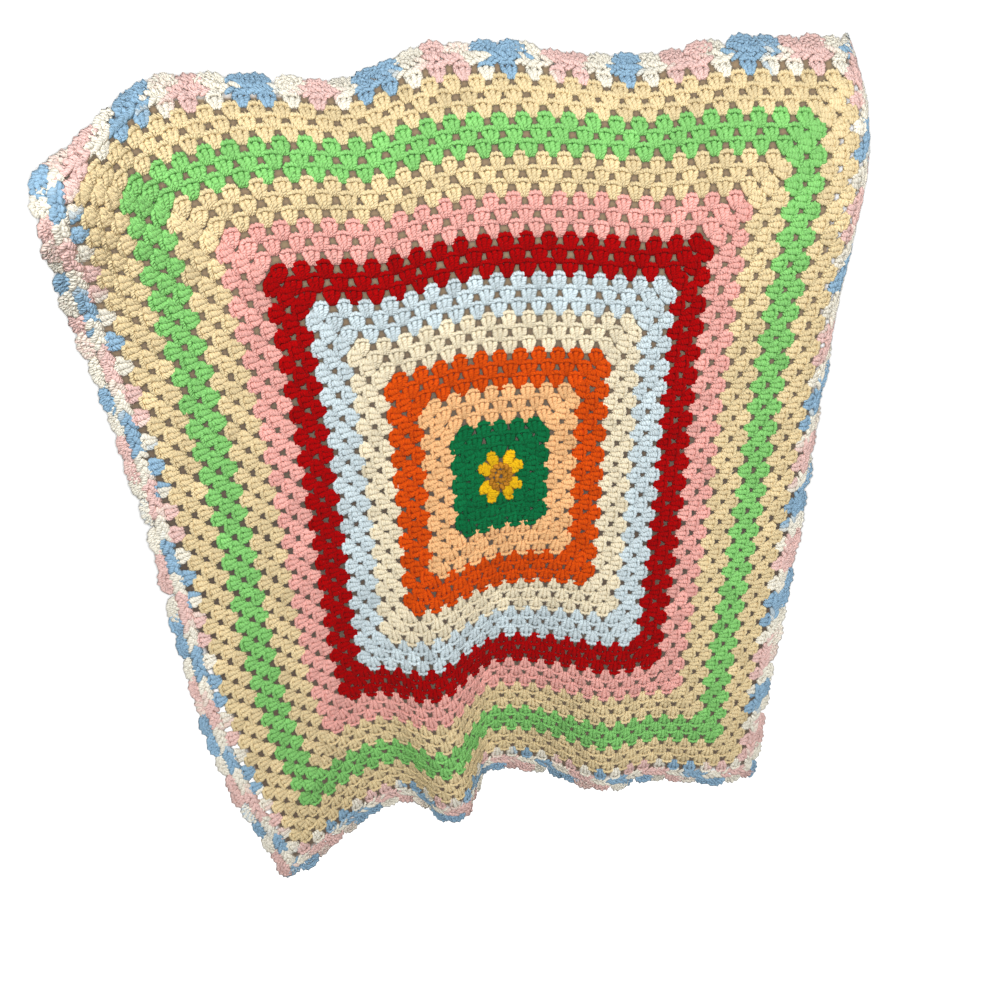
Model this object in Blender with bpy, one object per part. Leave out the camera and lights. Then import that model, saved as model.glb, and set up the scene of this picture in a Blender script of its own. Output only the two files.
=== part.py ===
"""A crocheted granny-square afghan, as it hangs from its top edge.

The afghan is worked in rounds from its centre, in one piece, so it is one solid: a thin sheet
with a scalloped shell edge. A place on the sheet is given in rounds from the centre, u to the
right and v up. Worked flat it is square. As it hangs, its own weight draws each round longer
down than across. The origin is the middle of the top edge, with +X to the right, the front
facing -Y and +Z up.
"""

from collections import namedtuple

import bmesh
import bpy
import numpy as np

# Rounds of the square, and the size that one round takes as the afghan hangs.
ROUNDS = 35.0
ACROSS = 0.0128
DOWN = 0.0162
THICKNESS = 0.0045
FRONT = 1.0
BACK = -1.0

# The shell edge: one lobe to each pair of rounds along the edge.
SHELL_SPACING = 2.0
SHELL_REACH = 0.45
SHELL_POINTS = 3

# A broad hollow in the middle of the sheet, which lies back from the edges.
Hollow = namedtuple("Hollow", "depth middle_u half_width middle_v half_height")
HOLLOW = Hollow(depth=0.097, middle_u=-4.0, half_width=27.0, middle_v=17.0, half_height=43.0)
TOP_LEFT_FORWARD = 0.096
TOP_FORWARD = 0.063
TOP_FORWARD_FROM = 15.0

# Folds that open towards the hem. A ridge starts on one line and reaches the hem on another,
# falls away over its left and right widths, and comes forward by its push.
Fold = namedtuple("Fold", "name at_start at_hem left right push begins steep")
FOLDS = (
    Fold("left edge", -38.0, -38.0, 8.0, 14.0, 0.115, 6.0, False),
    Fold("left fold", -5.0, -10.0, 5.5, 9.5, 0.085, 10.0, True),
    Fold("middle fold", 12.0, 14.0, 8.0, 5.0, 0.050, -2.0, False),
    Fold("right fold", 20.0, 27.0, 13.0, 10.0, 0.080, 8.0, False),
    Fold("right edge", 37.0, 37.0, 9.0, 8.0, 0.055, 6.0, False),
)
SHOULDER = 0.25

# The right edge curls back, most of all near the top, and the top edge rolls back.
CURL_FROM = 30.5
CURL_WIDTH = 3.4
CURL_SLOPE = 0.93
CURL_FADES = (-25.0, 20.0)
ROLL_FROM = 16.0
ROLL_ANGLE = np.radians(56.5)

# The top edge is held at four places and droops by these amounts beside and between them.
HELD_AT = (-24.5, -2.5, 4.2, 23.5)
DROOP = (0.007, 0.0155, 0.001, 0.012, 0.0045)
DROOP_DEPTH = 4.5

# The middle is drawn a little sideways on its way down.
SWAY_MIDDLE = 0.010
SWAY_UPPER = 0.002
SWAY_TOP = -0.016
SWAY_HEM = -0.025

# The sheet is worked out on a fine net, this many steps to a round, a round past its edge.
STEPS = 4
MARGIN = 1.0


def ease(t):
    """Rises softly from 0 to 1."""
    t = np.clip(t, 0.0, 1.0)
    return t * t * (3.0 - 2.0 * t)


def bell(t):
    """A soft bump, 1 in the middle."""
    return np.exp(-t * t)


def flank(t):
    """Falls from 1 to 0 with an even slope between two round shoulders."""
    t = np.clip(np.abs(t), 0.0, 1.0)
    slope = 1.0 / (1.0 - SHOULDER)
    near = slope * t * t / (2.0 * SHOULDER)
    far = 1.0 - slope * (1.0 - t) ** 2 / (2.0 * SHOULDER)
    even = slope * (t - SHOULDER / 2.0)
    return 1.0 - np.where(t < SHOULDER, near, np.where(t < 1.0 - SHOULDER, even, far))


def fold_push(fold, u, v):
    """How far one fold brings the sheet forward."""
    way_down = (fold.begins - v) / (fold.begins + ROUNDS)
    ridge = fold.at_start + (fold.at_hem - fold.at_start) * np.clip(way_down, 0.0, 1.2)
    width = np.where(u < ridge, fold.left, fold.right)
    away = (u - ridge) / width
    form = np.where((u > ridge) & fold.steep, flank(away), bell(away))
    return fold.push * ease(0.9 * way_down) * form


def set_back(u, v):
    """How far the sheet lies behind its top edge's line, before the top rolls back."""
    back = HOLLOW.depth * bell((u - HOLLOW.middle_u) / HOLLOW.half_width)
    back = back * bell((v - HOLLOW.middle_v) / HOLLOW.half_height)
    back = back - TOP_LEFT_FORWARD * bell((u + ROUNDS + 1.0) / 10.0) * bell((v - ROUNDS) / 12.0)
    back = back - TOP_FORWARD * ease((v - TOP_FORWARD_FROM) / (ROUNDS - TOP_FORWARD_FROM))
    for fold in FOLDS:
        back = back - fold_push(fold, u, v)
    past = np.clip((u - CURL_FROM) / CURL_WIDTH, 0.0, None)
    turned = np.where(past < 1.0, past * past / 2.0, past - 0.5)
    curl = turned * CURL_WIDTH * ACROSS * CURL_SLOPE
    low, high = CURL_FADES
    return back + curl * ease((v - low) / (high - low))


def droop(u):
    """How far the top edge hangs below the places that hold it."""
    ends = (-ROUNDS - MARGIN,) + HELD_AT + (ROUNDS + MARGIN,)
    drop = np.zeros_like(u)
    for i, (start, end, depth) in enumerate(zip(ends[:-1], ends[1:], DROOP)):
        t = (u - start) / (end - start)
        if i == 0:
            form = ease(1.0 - t)
        elif i == len(DROOP) - 1:
            form = ease(t)
        else:
            form = 4.0 * t * (1.0 - t)
        drop = drop + depth * np.where((t >= 0.0) & (t <= 1.0), form, 0.0)
    return drop


def sideways(u, v):
    """How far the sheet is drawn to the right."""
    middle = SWAY_MIDDLE * bell((u - 3.0) / 13.0) * bell((v - 13.0) / 12.0)
    upper = SWAY_UPPER * bell((v - 8.0) / 12.0) + SWAY_TOP * bell((v - 33.0) / 6.0)
    return middle + upper + SWAY_HEM * ease(-v / 25.0)


def summed(steps, axis):
    """The running total of steps between neighbouring net points, from 0."""
    first = np.take(steps, range(0, steps.shape[axis] - 1), axis=axis)
    second = np.take(steps, range(1, steps.shape[axis]), axis=axis)
    total = np.cumsum((first + second) / 2.0, axis=axis)
    start = np.zeros_like(np.take(total, [0], axis=axis))
    return np.concatenate([start, total], axis=axis)


def hang_net():
    """The hanging sheet's points on a fine net, rows from the bottom up, columns left to right."""
    half = ROUNDS + MARGIN
    line = np.linspace(-half, half, int(2 * half * STEPS) + 1)
    step = line[1] - line[0]
    u, v = np.meshgrid(line, line)
    y = set_back(u, v)
    slope_across = np.gradient(y, step, axis=1) / ACROSS
    x = summed(np.sqrt(np.maximum(1.0 - slope_across**2, 0.02)) * ACROSS * step, 1)
    x = x - x[:, [len(line) // 2]] + sideways(u, v)
    lean = (np.gradient(y, step, axis=0) / DOWN) ** 2 + (np.gradient(x, step, axis=0) / DOWN) ** 2
    length = np.sqrt(np.maximum(1.0 - lean, 0.04)) * DOWN * step
    turn = ROLL_ANGLE * np.clip((v - ROLL_FROM) / (ROUNDS - ROLL_FROM), 0.0, None)
    z = summed(length * np.cos(turn), 0)
    y = y + summed(length * np.sin(turn), 0)
    z = z - droop(u) * bell((v - half) / DROOP_DEPTH)
    net = np.stack([x, y, z], axis=-1)
    top_row = np.argmin(np.abs(line - ROUNDS))
    return net - net[top_row, len(line) // 2]


class Sheet:
    """Reads places and front normals off the hanging net."""

    def __init__(self):
        self.net = hang_net()
        across = np.gradient(self.net, axis=1)
        up = np.gradient(self.net, axis=0)
        front = np.cross(across, up)
        self.front = front / np.linalg.norm(front, axis=-1, keepdims=True)

    def read(self, table, u, v):
        column = (u + ROUNDS + MARGIN) * STEPS
        row = (v + ROUNDS + MARGIN) * STEPS
        i = min(int(row), table.shape[0] - 2)
        j = min(int(column), table.shape[1] - 2)
        a, b = row - i, column - j
        lower = table[i, j] * (1.0 - b) + table[i, j + 1] * b
        upper = table[i + 1, j] * (1.0 - b) + table[i + 1, j + 1] * b
        return lower * (1.0 - a) + upper * a

    def point(self, u, v, out):
        """A point this far out from the sheet's middle, towards the front."""
        return self.read(self.net, u, v) + self.read(self.front, u, v) * out


def shell_arc(start, end):
    """The places of one shell's rim between two corners of the sheet's edge."""
    start = np.array(start)
    end = np.array(end)
    middle = (start + end) / 2.0
    outward = np.sign(middle) * (np.abs(middle) > ROUNDS - 1e-6)
    places = []
    for k in range(1, SHELL_POINTS + 1):
        t = k / (SHELL_POINTS + 1)
        rise = SHELL_REACH * np.sin(np.pi * t) ** 0.6
        places.append(tuple(start + (end - start) * t + outward * rise))
    return places


def make_afghan():
    """The whole afghan: front and back faces on one pattern of places, joined by a rim."""
    sheet = Sheet()
    line = np.linspace(-ROUNDS, ROUNDS, int(2 * ROUNDS / SHELL_SPACING) + 1)
    mesh = bmesh.new()
    made = {}

    def corner(side, place):
        key = (side, round(float(place[0]), 4), round(float(place[1]), 4))
        if key not in made:
            made[key] = mesh.verts.new(sheet.point(key[1], key[2], side * THICKNESS / 2.0))
        return made[key]

    last = len(line) - 2
    rim = []
    for i in range(len(line) - 1):
        for j in range(len(line) - 1):
            a = (line[j], line[i])
            b = (line[j + 1], line[i])
            c = (line[j + 1], line[i + 1])
            d = (line[j], line[i + 1])
            outline = []
            edges = ((a, b, i == 0), (b, c, j == last), (c, d, i == last), (d, a, j == 0))
            for start, end, on_edge in edges:
                run = [start] + (shell_arc(start, end) if on_edge else [])
                outline += run
                if on_edge:
                    rim += list(zip(run, run[1:] + [end]))
            mesh.faces.new([corner(FRONT, place) for place in outline])
            mesh.faces.new([corner(BACK, place) for place in reversed(outline)])
    for start, end in rim:
        ends = ((FRONT, end), (FRONT, start), (BACK, start), (BACK, end))
        mesh.faces.new([corner(side, place) for side, place in ends])
    bmesh.ops.triangulate(mesh, faces=mesh.faces[:])
    bmesh.ops.recalc_face_normals(mesh, faces=mesh.faces[:])
    data = bpy.data.meshes.new("afghan")
    mesh.to_mesh(data)
    mesh.free()
    data.shade_smooth()
    data.set_sharp_from_angle(angle=np.radians(50.0))
    afghan = bpy.data.objects.new("afghan", data)
    bpy.context.scene.collection.objects.link(afghan)
    return afghan


def yarn_material():
    """Soft acrylic yarn in the tan that most of the afghan's rounds have."""
    material = bpy.data.materials.new("tan_yarn")
    material.use_nodes = True
    shader = material.node_tree.nodes["Principled BSDF"]
    shader.inputs["Base Color"].default_value = (0.75, 0.62, 0.38, 1.0)
    shader.inputs["Roughness"].default_value = 0.9
    shader.inputs["Metallic"].default_value = 0.0
    return material


def main():
    for old in list(bpy.data.objects):
        bpy.data.objects.remove(old, do_unlink=True)
    afghan = make_afghan()
    afghan.data.materials.append(yarn_material())


main()
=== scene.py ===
"""A granny-square afghan, crocheted stitch by stitch on the sheet that it hangs as.

Every cluster of three tall stitches, its chain and the shell edge are real yarn, laid out in
rounds on the square and carried onto the hanging sheet. A place on the sheet is given in rounds
from its centre, u to the right and v up, and in metres out from its middle towards the front.
"""

from collections import namedtuple

import bpy
import numpy as np
from mathutils import Matrix, Vector


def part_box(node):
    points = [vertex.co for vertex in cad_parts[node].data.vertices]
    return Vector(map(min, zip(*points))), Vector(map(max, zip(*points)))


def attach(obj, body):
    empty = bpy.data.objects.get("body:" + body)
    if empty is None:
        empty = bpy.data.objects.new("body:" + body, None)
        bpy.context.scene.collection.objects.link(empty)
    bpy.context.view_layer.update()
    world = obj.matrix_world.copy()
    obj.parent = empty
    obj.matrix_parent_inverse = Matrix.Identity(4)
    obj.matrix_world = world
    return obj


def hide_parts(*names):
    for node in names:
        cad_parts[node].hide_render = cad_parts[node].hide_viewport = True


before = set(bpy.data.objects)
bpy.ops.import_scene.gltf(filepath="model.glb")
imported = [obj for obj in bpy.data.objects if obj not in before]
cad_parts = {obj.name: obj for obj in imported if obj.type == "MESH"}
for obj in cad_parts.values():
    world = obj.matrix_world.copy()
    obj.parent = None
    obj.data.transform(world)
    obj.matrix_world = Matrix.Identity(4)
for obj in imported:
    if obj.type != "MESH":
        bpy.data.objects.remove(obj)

bl_info = {
    "name": "Crochet Afghan",
    "version": (1, 0, 0),
    "blender": (4, 5, 0),
    "location": "View3D > Sidebar > Afghan",
    "description": "Crochets a granny-square afghan in yarn over its hanging sheet",
    "category": "Object",
}

# Rounds from the centre to the edge. The sheet is worked out on a net with this many steps to a
# round, which reaches this many rounds past the edge.
ROUNDS = 35.0
STEPS = 4
MARGIN = 1.0

# A broad hollow in the middle of the sheet, which lies back from the edges.
Hollow = namedtuple("Hollow", "depth middle_u half_width middle_v half_height")
HOLLOW = Hollow(depth=0.097, middle_u=-4.0, half_width=27.0, middle_v=17.0, half_height=43.0)
TOP_LEFT_FORWARD = 0.096
TOP_FORWARD = 0.063
TOP_FORWARD_FROM = 15.0

# Folds that open towards the hem. A ridge starts on one line and reaches the hem on another,
# falls away over its left and right widths, and comes forward by its push.
Fold = namedtuple("Fold", "name at_start at_hem left right push begins steep")
FOLDS = (
    Fold("left edge", -38.0, -38.0, 8.0, 14.0, 0.115, 6.0, False),
    Fold("left fold", -5.0, -10.0, 5.5, 9.5, 0.085, 10.0, True),
    Fold("middle fold", 12.0, 14.0, 8.0, 5.0, 0.050, -2.0, False),
    Fold("right fold", 20.0, 27.0, 13.0, 10.0, 0.080, 8.0, False),
    Fold("right edge", 37.0, 37.0, 9.0, 8.0, 0.055, 6.0, False),
)
SHOULDER = 0.25

# The right edge curls back, most of all near the top, and the top edge rolls back.
CURL_FROM = 30.5
CURL_WIDTH = 3.4
CURL_SLOPE = 0.93
CURL_FADES = (-25.0, 20.0)
ROLL_FROM = 16.0
ROLL_ANGLE = np.radians(56.5)

# The top edge is held at four places and droops by these amounts beside and between them.
HELD_AT = (-24.5, -2.5, 4.2, 23.5)
DROOP = (0.007, 0.0155, 0.001, 0.012, 0.0045)
DROOP_DEPTH = 4.5

# The middle is drawn a little sideways on its way down.
SWAY_MIDDLE = 0.010
SWAY_UPPER = 0.002
SWAY_TOP = -0.016
SWAY_HEM = -0.025

# The coloured bands from the centre out: name, first round, last round, the yarn's slot, and how
# wide and how thick its clusters are against the plain ones.
Band = namedtuple("Band", "name first last slot wide thick")
BANDS = (
    Band("centre_ring_gold", 1, 1, "gold_yarn", 1.0, 1.0),
    Band("petals_yellow", 2, 2, "yellow_yarn", 0.66, 1.22),
    Band("rounds_dark_green", 3, 5, "dark_green_yarn", 1.16, 1.22),
    Band("rounds_peach", 6, 8, "peach_yarn", 1.08, 1.06),
    Band("rounds_orange", 9, 11, "orange_yarn", 1.12, 1.10),
    Band("rounds_cream", 12, 14, "cream_yarn", 1.06, 1.06),
    Band("rounds_light_blue", 15, 17, "light_blue_yarn", 1.06, 1.06),
    Band("rounds_red", 18, 20, "red_yarn", 1.06, 1.06),
    Band("rounds_pink", 21, 23, "pink_yarn", 1.02, 1.02),
    Band("rounds_inner_tan", 24, 26, "tan_yarn", 1.02, 1.02),
    Band("rounds_light_green", 27, 29, "light_green_yarn", 1.04, 1.04),
    Band("rounds_outer_tan", 30, 32, "tan_yarn", 1.02, 1.02),
)
BORDER = Band("border_variegated", 33, 35, "variegated_yarn", 1.0, 1.0)

# How many bands the flower and the ground round it take.
MIDDLE = 3

# Painted shade: how much darker each yarn is painted deep between its plies and on the sides of its
# strands, in red, green and blue.
PAINTED_CREASE_DARKENING = (0.72, 0.66, 0.60)

# Where a cluster's ridge of chains has its rings, from its left end to its right.
RIDGE = np.array([-0.62, -0.55, -0.44, -0.30, -0.15, 0.0, 0.15, 0.30, 0.44, 0.55, 0.62])

# How many times the plies turn round a tall stitch, and how often a ridge's chains bulge in it.
PLY_TURNS = 2.2
CHAIN_BULGES = 2.9

# How a tall stitch lies, in metres out from the sheet's middle: how far out all along, how much
# more halfway up, how much less at its top and in the outer two of a cluster's three, and how far
# its plies waver.
POST_LIFT = 0.0008
POST_ARCH = 0.0009
POST_DIP = 0.0013
OUTER_DIP = 0.0004
PLY_WAVER = 0.0004

# The same for the ridge of chains: how far out it lies, and how far its two ends are drawn in.
RIDGE_LIFT = 0.0015
RIDGE_DIP = 0.0022
RIDGE_FLAT_TO = 0.36
RIDGE_FALL = 0.26
RIDGE_CURVE = 0.50

# The flower's two rounds reach further out than plain rounds would, and lie on top of them.
FLOWER_REACH = {2: 2.22}
FLOWER_LIFT = {1: 0.0040, 2: 0.0016}

# The ring in the flower's middle: each circle's radius in rounds, how many stitches it has, how
# far each reaches outward and how far it turns.
RingCircle = namedtuple("RingCircle", "radius stitches reach turn")
RING_CIRCLES = (
    RingCircle(0.42, 7, 0.40, 0.80),
    RingCircle(1.02, 13, 0.56, 0.42),
)

# The dense round's two tiers of slanting stitches: where each starts and ends below the round's
# top, how it slants and how far its stitches are moved along. Then how far apart they stand.
DenseTier = namedtuple("DenseTier", "low high slant moved")
DENSE_TIERS = (
    DenseTier(-1.12, -0.54, 0.95, 0.0),
    DenseTier(-0.64, -0.04, -0.95, 0.34),
)
DENSE_SPACING = 0.60

# How many shells a side has, and how far they rise past the plain rounds, in rounds. Each shell
# is worked as rows of chain over one another: how high and how wide each row is.
SHELLS = 35
SHELL_RISE = 0.2
SHELL_FOOT = 1.12
SHELL_ARC = np.radians(84.0)
ShellRow = namedtuple("ShellRow", "high wide")
SHELL_ROWS = (
    ShellRow(0.10, 0.30),
    ShellRow(0.38, 0.62),
    ShellRow(0.66, 0.90),
    ShellRow(0.92, 1.14),
)

# The border yarn changes colour as it runs: how far along its colours it comes in each round of
# the square's edge, where it starts, and how far each tier above the first is shifted on each side.
DYE_RATE = 1.0 / 10.2
DYE_START = 3.7
TIER_SHIFTS = (0.0, 0.085, 0.22, -0.29)

# A cluster's stitches on each side: how far apart they end and begin, in rounds, how thick and
# how flat they are, how far they end below the round's top and how thick the ridge over them is.
# The afghan's weight draws the clusters on its left and right sides open along the side.
SideStitch = namedtuple("SideStitch", "spread base girth flat tuck ridge")
SIDE_STITCHES = (
    SideStitch(0.54, 0.13, 1.03, 0.55, 0.12, 1.00),
    SideStitch(0.56, 0.20, 1.33, 0.44, 0.05, 0.80),
    SideStitch(0.57, 0.22, 1.10, 0.50, 0.10, 0.95),
    SideStitch(0.56, 0.20, 1.33, 0.44, 0.05, 0.80),
)

# A round's four sides: how its along-the-side and outward directions lie on the sheet.
SIDES = (((1, 0), (0, 1)), ((0, -1), (1, 0)), ((-1, 0), (0, -1)), ((0, 1), (-1, 0)))

# Where the camera stands, in metres from the middle of the top edge.
CAMERA_PLACE = (-0.160, -0.951, 0.105)
SENSOR_WIDTH = 36.0

# The lines, from the top edge to the hem, that part the sheet into the columns that the backdrop
# lamp is dimmed towards, how far the columns overlap and how far out they bow at the sides. Its
# light takes one colour towards the top and another towards the hem, between two heights of the
# light's direction.
FlagLine = namedtuple("FlagLine", "top_u top_v hem_u hem_v")
FLAG_LINES = (
    FlagLine(-33.0, 33.3, -33.0, -33.2),
    FlagLine(-24.5, 33.5, -20.0, -33.0),
    FlagLine(-13.0, 33.2, -12.5, -33.2),
    FlagLine(-8.5, 33.3, -10.0, -33.7),
    FlagLine(-2.5, 33.6, -7.4, -33.3),
    FlagLine(4.2, 33.5, -4.5, -33.0),
    FlagLine(14.0, 33.2, 1.0, -32.9),
    FlagLine(23.5, 33.5, 14.0, -33.2),
    FlagLine(33.0, 33.3, 33.0, -33.4),
)
FLAG_OVERLAP = 0.5
FLAG_SIDE = 33.8
FLAG_SOFTNESS = 180.0
FLAG_LIGHT = (0.26, 0.17, 0.085)
FLAG_DEEP = (0.050, 0.022, 0.003)
FLAG_LIGHT_HEIGHT = -0.32
FLAG_DEEP_HEIGHT = -0.60

# The floor is flat this far out, and then sweeps up in a round of this radius.
FLOOR_FLAT = 1.6
FLOOR_SWEEP = 3.0
FLOOR_WALL = 2.0


def ease(t):
    """Rises softly from 0 to 1."""
    t = np.clip(t, 0.0, 1.0)
    return t * t * (3.0 - 2.0 * t)


def bell(t):
    """A soft bump, 1 in the middle."""
    return np.exp(-t * t)


def flank(t):
    """Falls from 1 to 0 with an even slope between two round shoulders."""
    t = np.clip(np.abs(t), 0.0, 1.0)
    slope = 1.0 / (1.0 - SHOULDER)
    near = slope * t * t / (2.0 * SHOULDER)
    far = 1.0 - slope * (1.0 - t) ** 2 / (2.0 * SHOULDER)
    even = slope * (t - SHOULDER / 2.0)
    return 1.0 - np.where(t < SHOULDER, near, np.where(t < 1.0 - SHOULDER, even, far))


def fold_push(fold, u, v):
    """How far one fold brings the sheet forward."""
    way_down = (fold.begins - v) / (fold.begins + ROUNDS)
    ridge = fold.at_start + (fold.at_hem - fold.at_start) * np.clip(way_down, 0.0, 1.2)
    width = np.where(u < ridge, fold.left, fold.right)
    away = (u - ridge) / width
    form = np.where((u > ridge) & fold.steep, flank(away), bell(away))
    return fold.push * ease(0.9 * way_down) * form


def set_back(u, v, across):
    """How far the sheet lies behind its top edge's line, before the top rolls back."""
    back = HOLLOW.depth * bell((u - HOLLOW.middle_u) / HOLLOW.half_width)
    back = back * bell((v - HOLLOW.middle_v) / HOLLOW.half_height)
    back = back - TOP_LEFT_FORWARD * bell((u + ROUNDS + 1.0) / 10.0) * bell((v - ROUNDS) / 12.0)
    back = back - TOP_FORWARD * ease((v - TOP_FORWARD_FROM) / (ROUNDS - TOP_FORWARD_FROM))
    for fold in FOLDS:
        back = back - fold_push(fold, u, v)
    past = np.clip((u - CURL_FROM) / CURL_WIDTH, 0.0, None)
    turned = np.where(past < 1.0, past * past / 2.0, past - 0.5)
    curl = turned * CURL_WIDTH * across * CURL_SLOPE
    low, high = CURL_FADES
    return back + curl * ease((v - low) / (high - low))


def droop(u):
    """How far the top edge hangs below the places that hold it."""
    ends = (-ROUNDS - MARGIN,) + HELD_AT + (ROUNDS + MARGIN,)
    drop = np.zeros_like(u)
    for i, (start, end, depth) in enumerate(zip(ends[:-1], ends[1:], DROOP)):
        t = (u - start) / (end - start)
        if i == 0:
            form = ease(1.0 - t)
        elif i == len(DROOP) - 1:
            form = ease(t)
        else:
            form = 4.0 * t * (1.0 - t)
        drop = drop + depth * np.where((t >= 0.0) & (t <= 1.0), form, 0.0)
    return drop


def sideways(u, v):
    """How far the sheet is drawn to the right."""
    middle = SWAY_MIDDLE * bell((u - 3.0) / 13.0) * bell((v - 13.0) / 12.0)
    upper = SWAY_UPPER * bell((v - 8.0) / 12.0) + SWAY_TOP * bell((v - 33.0) / 6.0)
    return middle + upper + SWAY_HEM * ease(-v / 25.0)


def summed(steps, axis):
    """The running total of steps between neighbouring net points, from 0."""
    first = np.take(steps, range(0, steps.shape[axis] - 1), axis=axis)
    second = np.take(steps, range(1, steps.shape[axis]), axis=axis)
    total = np.cumsum((first + second) / 2.0, axis=axis)
    start = np.zeros_like(np.take(total, [0], axis=axis))
    return np.concatenate([start, total], axis=axis)


def hang_net(across, down):
    """The hanging sheet's points on a fine net, rows from the bottom up, columns left to right."""
    half = ROUNDS + MARGIN
    line = np.linspace(-half, half, int(2 * half * STEPS) + 1)
    step = line[1] - line[0]
    u, v = np.meshgrid(line, line)
    y = set_back(u, v, across)
    slope_across = np.gradient(y, step, axis=1) / across
    x = summed(np.sqrt(np.maximum(1.0 - slope_across**2, 0.02)) * across * step, 1)
    x = x - x[:, [len(line) // 2]] + sideways(u, v)
    lean = (np.gradient(y, step, axis=0) / down) ** 2 + (np.gradient(x, step, axis=0) / down) ** 2
    length = np.sqrt(np.maximum(1.0 - lean, 0.04)) * down * step
    turn = ROLL_ANGLE * np.clip((v - ROLL_FROM) / (ROUNDS - ROLL_FROM), 0.0, None)
    z = summed(length * np.cos(turn), 0)
    y = y + summed(length * np.sin(turn), 0)
    z = z - droop(u) * bell((v - half) / DROOP_DEPTH)
    net = np.stack([x, y, z], axis=-1)
    top_row = np.argmin(np.abs(line - ROUNDS))
    return net - net[top_row, len(line) // 2]


class Sheet:
    """Reads places and directions off the hanging net, many at a time."""

    def __init__(self, across, down):
        self.net = hang_net(across, down)
        right = np.gradient(self.net, axis=1)
        up = np.gradient(self.net, axis=0)
        front = np.cross(right, up)
        self.front = front / np.linalg.norm(front, axis=-1, keepdims=True)

    def read(self, table, u, v):
        row = (v + ROUNDS + MARGIN) * STEPS
        column = (u + ROUNDS + MARGIN) * STEPS
        i = np.clip(row.astype(int), 0, table.shape[0] - 2)
        j = np.clip(column.astype(int), 0, table.shape[1] - 2)
        a = (row - i)[..., None]
        b = (column - j)[..., None]
        lower = table[i, j] * (1.0 - b) + table[i, j + 1] * b
        upper = table[i + 1, j] * (1.0 - b) + table[i + 1, j + 1] * b
        return lower * (1.0 - a) + upper * a

    def place(self, u, v, out):
        """Points this far out from the sheet's middle, and the front direction at each."""
        front = self.read(self.front, u, v)
        front = front / np.linalg.norm(front, axis=-1, keepdims=True)
        return self.read(self.net, u, v) + front * out[..., None], front


class Yarn:
    """Collects strands of yarn, each a closed tube, and makes them one mesh."""

    def __init__(self, sheet):
        self.sheet = sheet
        self.points = []
        self.faces = []
        self.marks = []
        self.tones = []
        self.dyes = []
        self.count = 0

    def strands(self, u, v, out, radius, sides, flat, tone, dye):
        """Adds strands: u, v, out and radius have a row for each strand, a column for each ring.

        flat squeezes a strand's depth against its width. tone is a shade for each strand. dye
        says for each ring how far along the coloured yarn it is.
        """
        centre, front = self.sheet.place(u, v, out)
        run = np.gradient(centre, axis=1)
        run /= np.linalg.norm(run, axis=-1, keepdims=True) + 1e-12
        side = np.cross(run, front)
        side /= np.linalg.norm(side, axis=-1, keepdims=True) + 1e-12
        deep = np.cross(side, run)
        steps = np.linalg.norm(np.diff(centre, axis=1), axis=-1)
        along = np.concatenate([np.zeros((len(u), 1)), np.cumsum(steps, axis=1)], axis=1)
        angle = np.arange(sides) * 2.0 * np.pi / sides
        wide = radius[..., None] * np.cos(angle)
        thick = radius[..., None] * np.sin(angle) * flat
        ring = centre[:, :, None] + side[:, :, None] * wide[..., None]
        ring = ring + deep[:, :, None] * thick[..., None]
        many, rings = u.shape
        first = self.count + np.arange(many) * rings * sides
        around = np.arange(sides)
        after = (around + 1) % sides
        for k in range(rings - 1):
            low = first[:, None] + k * sides
            quad = [low + around, low + after, low + sides + after, low + sides + around]
            self.faces += np.stack(quad, axis=-1).reshape(-1, 4).tolist()
        self.faces += (first[:, None] + around[::-1]).tolist()
        self.faces += (first[:, None] + (rings - 1) * sides + around).tolist()
        shape = (many, rings, sides)
        mark = np.stack([
            np.broadcast_to(np.cos(angle), shape),
            np.broadcast_to(np.sin(angle), shape),
            np.broadcast_to(along[..., None], shape),
        ], axis=-1)
        self.points.append(ring.reshape(-1, 3))
        self.marks.append(mark.reshape(-1, 3))
        self.tones.append(np.broadcast_to(tone[:, None, None], shape).reshape(-1))
        self.dyes.append(np.broadcast_to(dye[..., None], shape).reshape(-1))
        self.count += many * rings * sides

    def finish(self, name, material):
        """One object of all the strands, with what the yarn's material reads on its points."""
        data = bpy.data.meshes.new(name)
        data.from_pydata(np.concatenate(self.points).tolist(), [], self.faces)
        marks = data.attributes.new("strand", "FLOAT_VECTOR", "POINT")
        marks.data.foreach_set("vector", np.concatenate(self.marks).astype(np.float32).ravel())
        for label, values in (("tone", self.tones), ("dye", self.dyes)):
            attribute = data.attributes.new(label, "FLOAT", "POINT")
            attribute.data.foreach_set("value", np.concatenate(values).astype(np.float32))
        data.validate()
        data.shade_smooth()
        data.materials.append(material)
        piece = bpy.data.objects.new(name, data)
        bpy.context.scene.collection.objects.link(piece)
        return piece


def on_side(side, a, b):
    """The sheet's u and v of places a along a side and b outward from the centre."""
    (au, av), (bu, bv) = SIDES[side]
    return a * au + b * bu, a * av + b * bv


def cluster_centres(n):
    """Where round n's clusters stand along each side: their bases and their tops."""
    even = 2.0 * np.arange(n) - (n - 1)
    inset = min(1.5, 1.05 + 0.22 * (n - 2))
    top = even * (n - inset) / max(n - 1, 1)
    base = top.copy()
    if n == 2:
        base = 0.45 * top
    if n > 2:
        base[0] -= 0.20
        base[-1] += 0.20
    return base, top


def post_swell(s):
    """How thick a tall stitch is along its length: slim at its foot, fullest past its middle."""
    swell = 0.50 + 0.60 * np.sin(np.pi * np.clip(0.03 + 0.58 * s, 0.0, 1.0))
    return swell * np.where((s <= 0.0) | (s >= 1.0), 0.62, 1.0)


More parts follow.
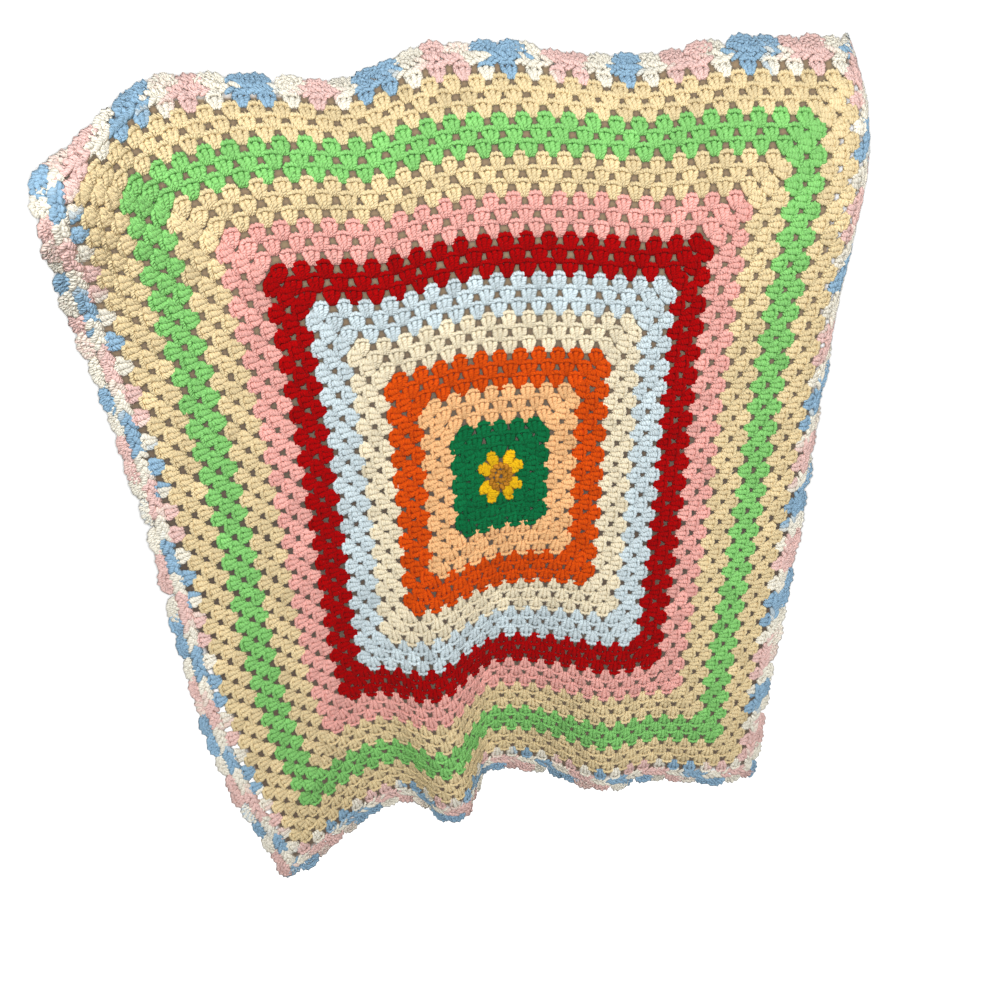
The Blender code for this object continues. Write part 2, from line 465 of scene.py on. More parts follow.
def work_cluster(yarn, side, base, top, low, high, band, raised, stitch, rng, dye):
    """Works a row of clusters on one side: three tall stitches and a ridge of chains over them."""
    many = len(base)
    s = np.linspace(0.0, 1.0, stitch.post_rings)[None, :]
    shift = rng.normal(0.0, stitch.unevenness, (many, 1))
    lift = rng.normal(0.0, stitch.unevenness, (many, 1))
    lean = rng.normal(0.0, 1.5 * stitch.unevenness, (many, 1))
    even = 1.0 + rng.normal(0.0, stitch.unevenness, (many, 1))
    way = SIDE_STITCHES[side]
    size = even * band.wide
    girth = even * band.thick * way.girth
    tone = rng.normal(0.0, 1.0, many)
    middle = base[:, None] + (top - base)[:, None] * s + shift + lean * s
    for k in (-1.0, 0.0, 1.0):
        wrap = 2.0 * np.pi * (PLY_TURNS * s + rng.uniform(0.0, 1.0, (many, 1)))
        spread = way.base + (way.spread - way.base) * s**0.75
        a = middle + k * spread * size + 0.03 * np.sin(wrap) * (s < 0.95)
        reach = high - way.tuck - 0.12 * abs(k) + rng.normal(0.0, 0.03, (many, 1))
        b = low + (reach - low) * s + lift * s
        out = POST_LIFT + POST_ARCH * np.sin(np.pi * s) - POST_DIP * s**4 - OUTER_DIP * abs(k)
        out = out + PLY_WAVER * np.cos(wrap) + raised
        radius = stitch.post_radius * post_swell(s) * (1.0 + 0.10 * np.cos(wrap)) * girth
        u, v = on_side(side, a, b)
        level = tone + rng.normal(0.0, 0.6, many)
        yarn.strands(u, v, out, radius, stitch.post_sides, way.flat, level, dye + 0.02 * k)
    q = RIDGE[None, :]
    ends = ease((np.abs(q) - RIDGE_FLAT_TO) / RIDGE_FALL)
    bump = np.cos(2.0 * np.pi * (CHAIN_BULGES * q + rng.uniform(-0.2, 0.2, (many, 1))))
    a = top[:, None] + q * size * way.spread / 0.50 + shift + lean
    b = high - 0.03 - RIDGE_CURVE * q * q - 0.10 * ends + lift + 0.03 * bump * (1.0 - ends)
    out = RIDGE_LIFT - RIDGE_DIP * ends + PLY_WAVER * bump + raised
    radius = stitch.chain_radius * (1.0 - 0.35 * ends) * (1.0 + 0.16 * bump) * girth * way.ridge
    u, v = on_side(side, a, b)
    level = tone + rng.normal(0.0, 0.4, many)
    yarn.strands(u, v, out, radius, stitch.chain_sides, 0.75, level, dye + 0.03)


def work_round(yarn, n, band, stitch, rng, dye=None):
    """Works one whole round of clusters, side by side. dye says how the yarn's colour runs."""
    base, top = cluster_centres(n)
    low = max(n - 1.0 - stitch.overlap, 0.20)
    high = FLOWER_REACH.get(n, float(n))
    raised = FLOWER_LIFT.get(n, 0.0)
    for side in range(4):
        place = dye(side, top, rng) if dye else np.zeros_like(top)
        work_cluster(yarn, side, base, top, low, high, band, raised, stitch, rng, place[:, None])
        if n > 2:
            work_corner(yarn, side, float(n), stitch, place[-1])


def work_ring(yarn, stitch, rng):
    """Works the ring in the flower's middle: two circles of short slanting stitches."""
    s = np.linspace(0.0, 1.0, stitch.post_rings)[None, :]
    for circle in RING_CIRCLES:
        many = circle.stitches
        angle = (np.arange(many) + rng.uniform(-0.15, 0.15, many))[:, None] * 2.0 * np.pi / many
        way = angle + circle.turn * (s - 0.5)
        far = circle.radius + circle.reach * (s - 0.5) + rng.normal(0.0, 0.03, (many, 1))
        out = np.broadcast_to(FLOWER_LIFT[1] + 0.0008 * np.sin(np.pi * s), way.shape)
        swell = np.where((s <= 0.0) | (s >= 1.0), 0.55, 0.85 + 0.25 * np.sin(np.pi * s))
        radius = np.broadcast_to(stitch.post_radius * swell, way.shape)
        tone = rng.normal(0.0, 2.4, many)
        u, v = far * np.cos(way), far * np.sin(way)
        yarn.strands(u, v, out, radius, stitch.post_sides, 0.7, tone, np.zeros_like(way))


def work_corner(yarn, side, n, stitch, dye):
    """Works the short chain that joins two sides' last clusters across a corner."""
    turn = np.linspace(-0.12, 1.12, 7)[None, :] * np.pi / 2.0
    a = n - 1.06 + 0.50 * np.sin(turn)
    b = n - 1.06 + 0.50 * np.cos(turn)
    out = np.full_like(turn, -0.0016)
    radius = np.full_like(turn, stitch.chain_radius * 0.9)
    u, v = on_side(side, a, b)
    yarn.strands(u, v, out, radius, stitch.chain_sides, 0.8, np.zeros(1), np.full_like(turn, dye))


def border_dye(side, along, rng, tier=0):
    """How far along the coloured yarn the border's stitches are."""
    around = side * 2.0 * ROUNDS + ROUNDS + along
    shift = TIER_SHIFTS[side] * tier
    return (around + DYE_START) * DYE_RATE + shift + rng.normal(0.0, 0.035, len(along))


def work_dense_round(yarn, n, stitch, rng):
    """Works a closed round: two tiers of short slanting stitches, like a plait along the edge."""
    reach = n - 0.45
    s = np.linspace(0.0, 1.0, 6)[None, :]
    for side in range(4):
        wide = (stitch.round_across, stitch.round_down)[side % 2] * DENSE_SPACING
        for tier in DENSE_TIERS:
            along = np.arange(-reach, reach + 0.01, DENSE_SPACING) + tier.moved
            along = along[np.abs(along) <= reach]
            many = len(along)
            slant = tier.slant + rng.normal(0.0, 0.14, (many, 1))
            a = along[:, None] + rng.normal(0.0, 0.06, (many, 1)) + slant * (s - 0.5)
            rise = rng.normal(0.0, 0.05, (many, 1))
            b = n + tier.low + rise + (tier.high - tier.low) * s
            out = 0.0004 + 0.0016 * np.sin(np.pi * s) + rng.normal(0.0, 0.0004, (many, 1))
            swell = np.where((s <= 0.0) | (s >= 1.0), 0.55, 0.84 + 0.16 * np.sin(np.pi * s))
            radius = 0.40 * wide * swell * (1.0 + rng.normal(0.0, 0.06, (many, 1)))
            u, v = on_side(side, a, b)
            place = border_dye(side, along, rng, 1)[:, None]
            tone = rng.normal(0.0, 0.8, many)
            yarn.strands(u, v, out, radius, stitch.post_sides, 0.56, tone, place)


def work_shells(yarn, stitch, rng):
    """Works the last round: low uneven shells, each of a few lumpy rows of chain over one another."""
    n = ROUNDS
    q = np.linspace(-1.0, 1.0, 13)[None, :]
    for side in range(4):
        along = (np.arange(SHELLS) + 0.5) * 2.0 * n / SHELLS - n
        many = len(along)
        along = along * (n - 0.55) / n + rng.normal(0.0, 0.16, many)
        size = 1.0 + rng.normal(0.0, 0.12, (many, 1))
        lean = rng.normal(0.0, 0.22, (many, 1))
        curl = rng.normal(0.0, 0.0010, (many, 1))
        place = border_dye(side, along, rng, 2)[:, None]
        tone = rng.normal(0.0, 0.8, many)
        for row in SHELL_ROWS:
            way = q * SHELL_ARC
            bump = np.cos(2.0 * np.pi * (3.0 * row.wide * q + rng.uniform(0.0, 1.0, (many, 1))))
            high = row.high * size + rng.normal(0.0, 0.03, (many, 1))
            a = along[:, None] + row.wide * np.sin(way) + lean * high
            b = n - SHELL_FOOT + (high + 0.05 * bump) * np.cos(way) ** 0.8
            out = 0.0008 + curl * high + 0.0008 * bump
            radius = stitch.chain_radius * (1.18 + 0.24 * bump) * (1.0 - 0.4 * q**4)
            u, v = on_side(side, a, b)
            level = tone + rng.normal(0.0, 0.9, many)
            shade = place + 0.02 * bump
            yarn.strands(u, v, out, radius, stitch.chain_sides, 0.66, level, shade)


def socket(group, name, way, kind, value=None):
    """Adds one named input or output to a node group."""
    made = group.interface.new_socket(name=name, in_out=way, socket_type=kind)
    if value is not None:
        made.default_value = value
    return made


def link(tree, start, end):
    """Links one node's output to another's input."""
    tree.links.new(start, end)


def math_node(tree, operation, first, second=None, third=None):
    """A Math node fed by sockets or by numbers."""
    node = tree.nodes.new("ShaderNodeMath")
    node.operation = operation
    for i, value in enumerate((first, second, third)):
        if value is None:
            continue
        if isinstance(value, (int, float)):
            node.inputs[i].default_value = value
        else:
            link(tree, value, node.inputs[i])
    return node.outputs[0]


def yarn_twist_group():
    """The look of plied yarn: painted shade in the grooves between its plies and on the sides of its
    strands, the plies' bumps, fuzz, and its uneven tone.
    """
    name = "Plied Yarn"
    if name in bpy.data.node_groups:
        return bpy.data.node_groups[name]
    group = bpy.data.node_groups.new(name, "ShaderNodeTree")
    socket(group, "Twist Length", "INPUT", "NodeSocketFloat", 0.009)
    socket(group, "Plies", "INPUT", "NodeSocketFloat", 3.0)
    socket(group, "Fuzz Scale", "INPUT", "NodeSocketFloat", 1400.0)
    socket(group, "Tone Range", "INPUT", "NodeSocketFloat", 0.05)
    socket(group, "Groove", "OUTPUT", "NodeSocketFloat")
    socket(group, "Tone", "OUTPUT", "NodeSocketFloat")
    socket(group, "Height", "OUTPUT", "NodeSocketFloat")
    given = group.nodes.new("NodeGroupInput")
    result = group.nodes.new("NodeGroupOutput")
    strand = group.nodes.new("ShaderNodeAttribute")
    strand.attribute_name = "strand"
    parts = group.nodes.new("ShaderNodeSeparateXYZ")
    link(group, strand.outputs["Vector"], parts.inputs[0])
    angle = math_node(group, "ARCTAN2", parts.outputs["Y"], parts.outputs["X"])
    turns = math_node(group, "DIVIDE", parts.outputs["Z"], given.outputs["Twist Length"])
    turned = math_node(group, "MULTIPLY", turns, 2.0 * np.pi)
    phase = math_node(group, "ADD", angle, turned)
    place = group.nodes.new("ShaderNodeNewGeometry")
    stray = group.nodes.new("ShaderNodeTexNoise")
    stray.inputs["Scale"].default_value = 210.0
    stray.inputs["Detail"].default_value = 2.0
    link(group, place.outputs["Position"], stray.inputs["Vector"])
    phase = math_node(group, "MULTIPLY_ADD", stray.outputs["Fac"], 3.0, phase)
    # The plies' wave makes their bumps, and also says where painted shade darkens the grooves between
    # them.
    wave = math_node(group, "SINE", math_node(group, "MULTIPLY", phase, given.outputs["Plies"]))
    ply = math_node(group, "MULTIPLY_ADD", wave, 0.5, 0.5)
    # Painted shade: the sides of each strand, where it meets its neighbours, are darkened as well.
    edge = math_node(group, "ABSOLUTE", parts.outputs["X"])
    crown = math_node(group, "SUBTRACT", 1.0, math_node(group, "POWER", edge, 2.5))
    painted_crease_mask = math_node(group, "MULTIPLY_ADD", ply, 0.45, math_node(group, "MULTIPLY", crown, 0.55))
    fuzz = group.nodes.new("ShaderNodeTexNoise")
    fuzz.inputs["Detail"].default_value = 3.0
    link(group, place.outputs["Position"], fuzz.inputs["Vector"])
    link(group, given.outputs["Fuzz Scale"], fuzz.inputs["Scale"])
    blotch = group.nodes.new("ShaderNodeTexNoise")
    blotch.inputs["Scale"].default_value = 55.0
    blotch.inputs["Detail"].default_value = 2.0
    link(group, place.outputs["Position"], blotch.inputs["Vector"])
    tone = group.nodes.new("ShaderNodeAttribute")
    tone.attribute_name = "tone"
    mixed = math_node(group, "MULTIPLY_ADD", blotch.outputs["Fac"], 3.0, -1.5)
    mixed = math_node(group, "ADD", mixed, tone.outputs["Fac"])
    mixed = math_node(group, "MULTIPLY_ADD", mixed, given.outputs["Tone Range"], 1.0)
    height = math_node(group, "MULTIPLY_ADD", fuzz.outputs["Fac"], 1.1, ply)
    link(group, painted_crease_mask, result.inputs["Groove"])
    link(group, mixed, result.inputs["Tone"])
    link(group, height, result.inputs["Height"])
    return group


def mix_node(tree, blend="MIX", factor=0.5, a=None, b=None):
    """A colour Mix node, with its colours where they are plain ones."""
    mix = tree.nodes.new("ShaderNodeMix")
    mix.data_type = "RGBA"
    mix.blend_type = blend
    mix.inputs["Factor"].default_value = factor
    for label, colour in (("A", a), ("B", b)):
        if colour is not None:
            mix.inputs[label].default_value = (*colour, 1.0)
    return mix


def border_ramp(tree):
    """The border yarn's colour at each place along it: blue, white, pink and white again."""
    dye = tree.nodes.new("ShaderNodeAttribute")
    dye.attribute_name = "dye"
    part = math_node(tree, "FRACT", dye.outputs["Fac"])
    ramp = tree.nodes.new("ShaderNodeValToRGB")
    dyes = bpy.context.scene.afghan_yarns
    stops = (
        (0.0, dyes.border_blue), (0.27, dyes.border_blue), (0.31, dyes.border_white),
        (0.46, dyes.border_white), (0.51, dyes.border_pink), (0.78, dyes.border_pink),
        (0.83, dyes.border_white), (0.97, dyes.border_white),
    )
    elements = ramp.color_ramp.elements
    while len(elements) < len(stops):
        elements.new(0.5)
    for element, (where, dyed) in zip(elements, stops):
        element.position = where
        element.color = (*dyed, 1.0)
    link(tree, part, ramp.inputs["Fac"])
    return ramp.outputs["Color"]


def yarn_material(slot, shade):
    """Soft matte yarn: its own colour, a deeper one painted as shade in its grooves and on the sides
    of its strands, fuzz and a soft sheen.

    A yarn with no one shade is the border's, which changes colour as it runs.
    """
    material = bpy.data.materials.new(slot)
    material.use_nodes = True
    tree = material.node_tree
    shader = tree.nodes["Principled BSDF"]
    shader.inputs["Roughness"].default_value = 0.92
    shader.inputs["Specular IOR Level"].default_value = 0.04
    shader.inputs["Sheen Weight"].default_value = 0.02
    shader.inputs["Sheen Roughness"].default_value = 0.6
    twist = tree.nodes.new("ShaderNodeGroup")
    twist.node_tree = yarn_twist_group()
    # Painted shade: this mix takes the deeper colour in the plies' grooves and on the strands' sides.
    colour = mix_node(tree)
    link(tree, twist.outputs["Groove"], colour.inputs["Factor"])
    if shade is None:
        dyed = border_ramp(tree)
        # Painted shade: the border's colours darkened in the same way.
        painted_crease_colour = mix_node(tree, "MULTIPLY", 1.0, b=PAINTED_CREASE_DARKENING)
        link(tree, dyed, painted_crease_colour.inputs["A"])
        link(tree, painted_crease_colour.outputs["Result"], colour.inputs["A"])
        link(tree, dyed, colour.inputs["B"])
    else:
        # Painted shade: the yarn's own colour darkened for its grooves and the sides of its strands.
        dark = [own * deep for own, deep in zip(shade, PAINTED_CREASE_DARKENING)]
        colour.inputs["A"].default_value = (*dark, 1.0)
        colour.inputs["B"].default_value = (*shade, 1.0)
    grey = tree.nodes.new("ShaderNodeCombineColor")
    for part in ("Red", "Green", "Blue"):
        link(tree, twist.outputs["Tone"], grey.inputs[part])
    toned = mix_node(tree, "MULTIPLY", 1.0)
    link(tree, colour.outputs["Result"], toned.inputs["A"])
    link(tree, grey.outputs["Color"], toned.inputs["B"])
    link(tree, toned.outputs["Result"], shader.inputs["Base Color"])
    bump = tree.nodes.new("ShaderNodeBump")
    bump.inputs["Strength"].default_value = 0.8
    bump.inputs["Distance"].default_value = 0.0008
    link(tree, twist.outputs["Height"], bump.inputs["Height"])
    link(tree, bump.outputs["Normal"], shader.inputs["Normal"])
    return material


class StitchSettings(bpy.types.PropertyGroup):
    """The size of the stitches and how evenly they are worked."""

    round_across: bpy.props.FloatProperty(
        name="Round Across", description="One round's height where it runs down the sides",
        default=0.0128, unit="LENGTH")
    round_down: bpy.props.FloatProperty(
        name="Round Down", description="One round's height where it runs across, as it hangs",
        default=0.0162, unit="LENGTH")
    post_radius: bpy.props.FloatProperty(
        name="Stitch Radius", description="Half the width of one tall stitch",
        default=0.0031, unit="LENGTH")
    chain_radius: bpy.props.FloatProperty(
        name="Chain Radius", description="Half the width of the chain over each cluster",
        default=0.0026, unit="LENGTH")
    overlap: bpy.props.FloatProperty(
        name="Overlap", description="How far a cluster reaches into the round below, in rounds",
        default=0.38)
    unevenness: bpy.props.FloatProperty(
        name="Unevenness", description="How unevenly the stitches are worked",
        default=0.035)
    post_sides: bpy.props.IntProperty(
        name="Stitch Sides", description="Faces around a tall stitch", default=6)
    post_rings: bpy.props.IntProperty(
        name="Stitch Rings", description="Rings along a tall stitch", default=7)
    chain_sides: bpy.props.IntProperty(
        name="Chain Sides", description="Faces around the chain", default=5)


def yarn_colour(name, description, shade):
    """A colour setting for one yarn."""
    return bpy.props.FloatVectorProperty(
        name=name, description=description, subtype="COLOR", size=3, min=0.0, max=1.0,
        default=shade)


class YarnSettings(bpy.types.PropertyGroup):
    """The colours of the yarns."""

    gold: yarn_colour("Gold", "The ring at the centre", (0.52, 0.22, 0.02))
    yellow: yarn_colour("Yellow", "The petals round the centre", (0.90, 0.53, 0.01))
    dark_green: yarn_colour("Dark Green", "The first band", (0.004, 0.17, 0.055))
    peach: yarn_colour("Peach", "The second band", (0.98, 0.57, 0.27))
    orange: yarn_colour("Orange", "The third band", (0.74, 0.085, 0.004))
    cream: yarn_colour("Cream", "The fourth band", (0.93, 0.84, 0.62))
    light_blue: yarn_colour("Light Blue", "The fifth band", (0.68, 0.81, 0.87))
    red: yarn_colour("Red", "The sixth band", (0.42, 0.001, 0.002))
    pink: yarn_colour("Pink", "The seventh band", (0.95, 0.48, 0.43))
    tan: yarn_colour("Tan", "The eighth and tenth bands", (0.88, 0.72, 0.42))
    light_green: yarn_colour("Light Green", "The ninth band", (0.27, 0.68, 0.20))
    border_white: yarn_colour("Border White", "The border yarn's white", (0.95, 0.92, 0.80))
    border_pink: yarn_colour("Border Pink", "The border yarn's pink", (0.90, 0.62, 0.58))
    border_blue: yarn_colour("Border Blue", "The border yarn's blue", (0.31, 0.51, 0.70))


class StageSettings(bpy.types.PropertyGroup):
    """The light, the floor and the camera."""

    floor_below: bpy.props.FloatProperty(
        name="Floor Below", description="How far below the hem the floor lies",
        default=0.55, unit="LENGTH")
    key_power: bpy.props.FloatProperty(
        name="Key Light", description="Power of the soft light over the camera",
        default=38.0, unit="POWER")
    fill_power: bpy.props.FloatProperty(
        name="Fill Light", description="Power of the soft light low on the right",
        default=11.0, unit="POWER")
    back_power: bpy.props.FloatProperty(
        name="Back Light", description="Power of the soft light behind the afghan",
        default=45.0, unit="POWER")
    room_light: bpy.props.FloatProperty(
        name="Room Light", description="Brightness of the pale room around", default=0.07)
    backdrop_power: bpy.props.FloatProperty(
        name="Backdrop Light", description="Power of the light on the floor and backdrop",
        default=75.0, unit="POWER")
    lens: bpy.props.FloatProperty(
        name="Lens", description="The camera's focal length", default=28.8, unit="CAMERA")
    turn: bpy.props.FloatProperty(
        name="Turn", description="How far the camera turns to its right",
        default=float(np.radians(11.4)), subtype="ANGLE")
    tilt: bpy.props.FloatProperty(
        name="Tilt", description="How far the camera looks down",
        default=float(np.radians(36.1)), subtype="ANGLE")
    roll: bpy.props.FloatProperty(
        name="Roll", description="How far the camera leans",
        default=float(np.radians(-1.6)), subtype="ANGLE")


def new_sheet():
    """The hanging sheet at the size that the settings give."""
    stitch = bpy.context.scene.afghan_stitches
    return Sheet(stitch.round_across, stitch.round_down)


class AFGHAN_OT_crochet_rounds(bpy.types.Operator):
    """Crochet the coloured rounds, one piece for each band of one yarn"""

    bl_idname = "afghan.crochet_rounds"
    bl_label = "Crochet Rounds"

    def execute(self, context):
        stitch = context.scene.afghan_stitches
        yarns = context.scene.afghan_yarns
        sheet = new_sheet()
        made = {}
        for band in BANDS:
            rng = np.random.default_rng(100 + band.first)
            yarn = Yarn(sheet)
            for n in range(band.first, band.last + 1):
                if n == 1:
                    work_ring(yarn, stitch, rng)
                else:
                    work_round(yarn, n, band, stitch, rng)
            if band.slot not in made:
                shade = getattr(yarns, band.slot.replace("_yarn", ""))
                made[band.slot] = yarn_material(band.slot, shade)
            piece = yarn.finish(band.name, made[band.slot])
            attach(piece, "root")
        return {"FINISHED"}


class AFGHAN_OT_work_border(bpy.types.Operator):
    """Work the border in variegated yarn: clusters, a closed round and shells"""

    bl_idname = "afghan.work_border"
    bl_label = "Work Border"

    def execute(self, context):
        stitch = context.scene.afghan_stitches
        rng = np.random.default_rng(7)
        yarn = Yarn(new_sheet())
        work_round(yarn, BORDER.first, BORDER, stitch, rng, border_dye)
        work_dense_round(yarn, BORDER.first + 1, stitch, rng)
        work_shells(yarn, stitch, rng)
        piece = yarn.finish(BORDER.name, yarn_material(BORDER.slot, None))
        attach(piece, "root")
        return {"FINISHED"}


class AFGHAN_OT_declare_cloth(bpy.types.Operator):
    """Hide the plain sheet that the rounds and the border stand in for; each band's depth in rounds
    is worked out and not used
    """

    bl_idname = "afghan.declare_cloth"
    bl_label = "Declare Cloth"

    def execute(self, context):
        stitch = context.scene.afghan_stitches
        for band in BANDS[MIDDLE:] + (BORDER,):
            rounds = band.last - band.first + 1 + stitch.overlap
            rounds += SHELL_RISE if band is BORDER else 0.0
        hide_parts("afghan")
        return {"FINISHED"}


def floor_material():
    """Plain pale matte paper."""
    material = bpy.data.materials.new("pale_paper")
    material.use_nodes = True
    tree = material.node_tree
    shader = tree.nodes["Principled BSDF"]
    shader.inputs["Roughness"].default_value = 0.9
    shader.inputs["Specular IOR Level"].default_value = 0.1
    noise = tree.nodes.new("ShaderNodeTexNoise")
    noise.inputs["Scale"].default_value = 3.0
    tint = mix_node(tree, a=(0.84, 0.84, 0.84), b=(0.87, 0.87, 0.86))
    link(tree, noise.outputs["Fac"], tint.inputs["Factor"])
    ray = tree.nodes.new("ShaderNodeLightPath")
    bounce = mix_node(tree, b=(0.04, 0.04, 0.04))
    link(tree, ray.outputs["Is Diffuse Ray"], bounce.inputs["Factor"])
    link(tree, tint.outputs["Result"], bounce.inputs["A"])
    link(tree, bounce.outputs["Result"], shader.inputs["Base Color"])
    return material


def area_light(name, place, aim, size, power):
    """A soft round light at a place, aimed at a point."""
    data = bpy.data.lights.new(name, "AREA")
    data.shape = "DISK"
    data.size = size
    data.energy = power
    lamp = bpy.data.objects.new(name, data)
    lamp.location = place
    lamp.rotation_mode = "QUATERNION"
    lamp.rotation_quaternion = (Vector(aim) - Vector(place)).to_track_quat("-Z", "Y")
    bpy.context.scene.collection.objects.link(lamp)
    return lamp


class AFGHAN_OT_set_stage(bpy.types.Operator):
    """Set the floor and backdrop, the soft lights and the camera"""

    bl_idname = "afghan.set_stage"
    bl_label = "Set Stage"

    def execute(self, context):
        stage = context.scene.afghan_stage
        low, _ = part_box("afghan")
        floor = self.make_floor(low.z - stage.floor_below)
        self.make_lights(stage, floor)
        self.make_camera(stage)
        context.scene.view_settings.view_transform = "Standard"
        return {"FINISHED"}

    def make_floor(self, level):
        """A flat round floor that sweeps up far away on every side."""
        profile = [(0.05, 0.0), (FLOOR_FLAT, 0.0)]
        for angle in np.radians(np.linspace(5.0, 90.0, 18)):
            away = FLOOR_FLAT + FLOOR_SWEEP * np.sin(angle)
            profile.append((away, FLOOR_SWEEP * (1.0 - np.cos(angle))))
        profile.append((profile[-1][0], FLOOR_SWEEP + FLOOR_WALL))
        turns = np.linspace(0.0, 2.0 * np.pi, 96, endpoint=False)
        points = [(r * np.cos(t), r * np.sin(t), level + z) for r, z in profile for t in turns]
        many = len(turns)
        faces = [list(range(many))]
        for ring in range(len(profile) - 1):
            for i in range(many):
                low, after = ring * many + i, ring * many + (i + 1) % many
                faces.append([low, low + many, after + many, after])
        data = bpy.data.meshes.new("floor")
        data.from_pydata(points, [], faces)
        data.shade_smooth()
        data.materials.append(floor_material())
        floor = bpy.data.objects.new("floor", data)
        bpy.context.scene.collection.objects.link(floor)
        return floor

    def make_lights(self, stage, floor):
        """Soft lights on the yarn, and a lamp beside the camera that only the backdrop takes."""
        yarn_only = bpy.data.collections.new("all_but_backdrop")
        yarn_only.objects.link(floor)
        yarn_only.collection_objects[0].light_linking.link_state = "EXCLUDE"
        backdrop_only = bpy.data.collections.new("backdrop_only")
        backdrop_only.objects.link(floor)
        middle = (0.0, -0.1, -0.5)
        lamps = (
            area_light("key", (-0.35, -1.5, 0.75), middle, 1.1, stage.key_power),
            area_light("fill", (0.9, -1.5, -0.3), middle, 1.4, stage.fill_power),
            area_light("behind", (0.9, 2.0, 0.5), middle, 1.5, stage.back_power),
        )
        for lamp in lamps:
            lamp.light_linking.receiver_collection = yarn_only
        data = bpy.data.lights.new("backdrop", "POINT")
        data.energy = stage.backdrop_power
        data.shadow_soft_size = 0.004
        data.use_soft_falloff = True
        lamp = bpy.data.objects.new("backdrop", data)
        lamp.location = CAMERA_PLACE
        bpy.context.scene.collection.objects.link(lamp)
        lamp.light_linking.receiver_collection = backdrop_only
        data.use_nodes = True
        tree = data.node_tree
        falloff = tree.nodes.new("ShaderNodeLightFalloff")
        falloff.inputs["Strength"].default_value = 1.0
        link(tree, falloff.outputs["Constant"], tree.nodes["Emission"].inputs["Strength"])
        link(tree, self.flag_light(tree), tree.nodes["Emission"].inputs["Color"])
        world = bpy.data.worlds.new("pale_room")
        world.use_nodes = True
        background = world.node_tree.nodes["Background"]
        background.inputs["Color"].default_value = (1.0, 1.0, 1.0, 1.0)
        ray = world.node_tree.nodes.new("ShaderNodeLightPath")
        seen = math_node(world.node_tree, "MULTIPLY_ADD", ray.outputs["Is Camera Ray"],
                         1.0 - stage.room_light, stage.room_light)
        link(world.node_tree, seen, background.inputs["Strength"])
        bpy.context.scene.world = world

    def flag_places(self, left, right):
        """The corners of the column between two lines. The outer columns bow outwards."""
        places = [
            (left.top_u - FLAG_OVERLAP, left.top_v), (right.top_u + FLAG_OVERLAP, right.top_v),
            (right.hem_u + FLAG_OVERLAP, right.hem_v), (left.hem_u - FLAG_OVERLAP, left.hem_v),
        ]
        if left == FLAG_LINES[0]:
            places.append((-FLAG_SIDE, 0.0))
        if right == FLAG_LINES[-1]:
            places.insert(2, (FLAG_SIDE, 0.0))
        return np.array(places).T

    def flag_light(self, tree):
        """Dims the backdrop lamp towards the sheet, so that little of it passes the gaps."""
        sheet = new_sheet()
        lamp = Vector(CAMERA_PLACE)
        way = tree.nodes.new("ShaderNodeNewGeometry").outputs["Normal"]
        covered = None
        for left, right in zip(FLAG_LINES[:-1], FLAG_LINES[1:]):
            u, v = self.flag_places(left, right)
            corners = [Vector(p) - lamp for p in sheet.place(u, v, np.zeros(len(u)))[0]]
            inside = None
            for start, end in zip(corners, corners[1:] + corners[:1]):
                dot = tree.nodes.new("ShaderNodeVectorMath")
                dot.operation = "DOT_PRODUCT"
                link(tree, way, dot.inputs[0])
                dot.inputs[1].default_value = start.cross(end).normalized()
                within = math_node(tree, "MULTIPLY_ADD", dot.outputs["Value"], FLAG_SOFTNESS, 0.5)
                inside = within if inside is None else math_node(tree, "MINIMUM", inside, within)
            covered = inside if covered is None else math_node(tree, "MAXIMUM", covered, inside)
        clamp = tree.nodes.new("ShaderNodeClamp")
        link(tree, covered, clamp.inputs["Value"])
        height = tree.nodes.new("ShaderNodeSeparateXYZ")
        link(tree, way, height.inputs[0])
        fade = tree.nodes.new("ShaderNodeMapRange")
        fade.inputs["From Min"].default_value = FLAG_LIGHT_HEIGHT
        fade.inputs["From Max"].default_value = FLAG_DEEP_HEIGHT
        link(tree, height.outputs["Z"], fade.inputs["Value"])
        dimmed = mix_node(tree, a=FLAG_LIGHT, b=FLAG_DEEP)
        link(tree, fade.outputs["Result"], dimmed.inputs["Factor"])
        colour = mix_node(tree, a=(1.0, 1.0, 1.0))
        link(tree, clamp.outputs["Result"], colour.inputs["Factor"])
        link(tree, dimmed.outputs["Result"], colour.inputs["B"])
        return colour.outputs["Result"]

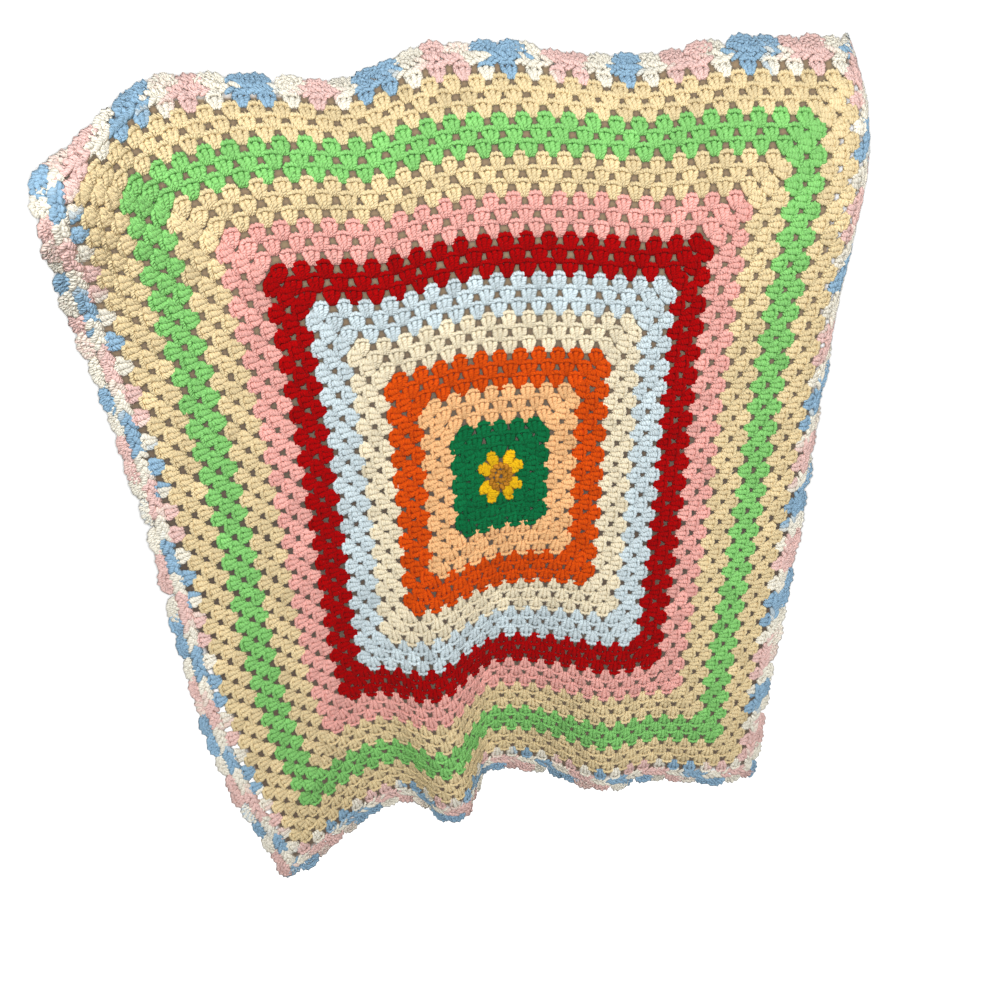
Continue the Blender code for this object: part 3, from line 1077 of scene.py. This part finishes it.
    def make_camera(self, stage):
        """The camera where the photograph was taken from."""
        turn, tilt, roll = stage.turn, stage.tilt, stage.roll
        forward = Vector((np.sin(turn) * np.cos(tilt), np.cos(turn) * np.cos(tilt), -np.sin(tilt)))
        right = Vector((np.cos(turn), -np.sin(turn), 0.0))
        down = forward.cross(right)
        leaned_right = right * np.cos(roll) - down * np.sin(roll)
        leaned_down = right * np.sin(roll) + down * np.cos(roll)
        data = bpy.data.cameras.new("camera")
        data.lens = stage.lens
        data.sensor_width = SENSOR_WIDTH
        camera = bpy.data.objects.new("camera", data)
        matrix = Matrix((leaned_right, -leaned_down, -forward)).transposed().to_4x4()
        matrix.translation = Vector(CAMERA_PLACE)
        camera.matrix_world = matrix
        bpy.context.scene.collection.objects.link(camera)
        bpy.context.scene.camera = camera


class AFGHAN_PT_panel(bpy.types.Panel):
    """The afghan's settings and steps"""

    bl_idname = "AFGHAN_PT_panel"
    bl_label = "Crochet Afghan"
    bl_space_type = "VIEW_3D"
    bl_region_type = "UI"
    bl_category = "Afghan"

    def draw(self, context):
        for settings in (context.scene.afghan_stitches, context.scene.afghan_yarns,
                         context.scene.afghan_stage):
            box = self.layout.box()
            for name in settings.__annotations__:
                box.prop(settings, name)
        for step in STEPS_IN_ORDER:
            self.layout.operator(step)


STEPS_IN_ORDER = (
    "afghan.set_stage",
    "afghan.crochet_rounds",
    "afghan.work_border",
    "afghan.declare_cloth",
)
CLASSES = (
    StitchSettings,
    YarnSettings,
    StageSettings,
    AFGHAN_OT_crochet_rounds,
    AFGHAN_OT_work_border,
    AFGHAN_OT_declare_cloth,
    AFGHAN_OT_set_stage,
    AFGHAN_PT_panel,
)


def register():
    for made in CLASSES:
        bpy.utils.register_class(made)
    bpy.types.Scene.afghan_stitches = bpy.props.PointerProperty(type=StitchSettings)
    bpy.types.Scene.afghan_yarns = bpy.props.PointerProperty(type=YarnSettings)
    bpy.types.Scene.afghan_stage = bpy.props.PointerProperty(type=StageSettings)


def unregister():
    del bpy.types.Scene.afghan_stage
    del bpy.types.Scene.afghan_yarns
    del bpy.types.Scene.afghan_stitches
    for made in reversed(CLASSES):
        bpy.utils.unregister_class(made)


def main():
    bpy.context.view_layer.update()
    register()
    bpy.ops.afghan.set_stage()
    bpy.ops.afghan.crochet_rounds()
    bpy.ops.afghan.work_border()
    bpy.ops.afghan.declare_cloth()


if __name__ == "__main__":
    main()
